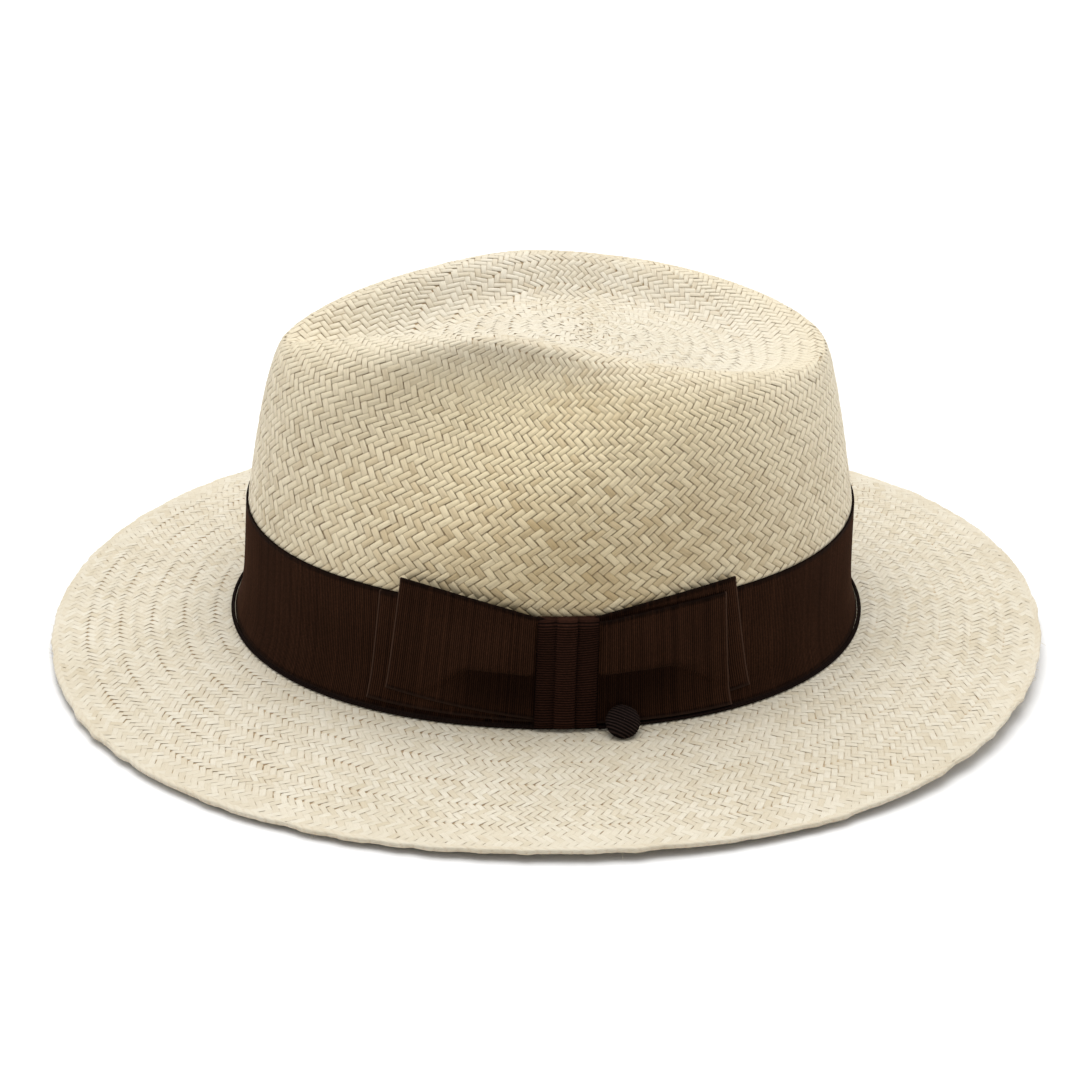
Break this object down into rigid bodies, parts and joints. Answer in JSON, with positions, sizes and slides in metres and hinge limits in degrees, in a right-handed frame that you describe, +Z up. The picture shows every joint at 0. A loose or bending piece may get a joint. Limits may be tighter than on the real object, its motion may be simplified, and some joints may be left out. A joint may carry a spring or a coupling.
{
  "type": "panama hat",
  "caption": "Panama hat of herringbone-woven straw with a teardrop crown, dark ribbon band and bow, and a covered button on an elastic wind cord.",
  "frame": {"origin": "under the middle of the hat's bounding box, on the surface the brim rests on", "axes": "+Z up through the crown, -Y to the front of the hat, +X to the wearer's left, where the bow is"},
  "size_m": [0.2988, 0.33, 0.1192],
  "materials": {
    "straw": "bleached toquilla straw, herringbone weave, satin",
    "grosgrain": "ribbed dark brown grosgrain ribbon",
    "grosgrain_knot": "ribbed dark brown grosgrain ribbon, pleated",
    "elastic": "braided elastic cord, matte",
    "button_cloth": "ribbed cloth, matte",
    "tinplate": "plain pressed tinplate",
    "sweatband_leather": "thin smooth leather, semi matte",
    "reed": "thin cane, matte",
    "satin": "narrow satin ribbon",
    "thread": "waxed thread"
  },
  "bodies": {
    "hat": {"straw_body": "straw", "hat_band": "grosgrain", "bow_left_wing": "grosgrain", "bow_left_tail": "grosgrain", "bow_right_wing": "grosgrain", "bow_right_tail": "grosgrain", "bow_knot": "grosgrain_knot", "wind_cord": "elastic", "cord_neck": "elastic", "sweatband": "sweatband_leather", "sweatband_reed": "reed", "sweatband_stitching": "thread", "sweatband_bow": "satin"},
    "button": {"button_cover": "button_cloth", "button_shell": "tinplate", "button_back": "tinplate", "button_shank": "tinplate"}
  },
  "joints": [
    {"name": "button_pull", "type": "slide", "parent": "hat", "child": "button", "axis": [0.9764, 0.2161, 0], "range_m": [0, 0.03], "stiffness_N_per_m": 30}
  ]
}
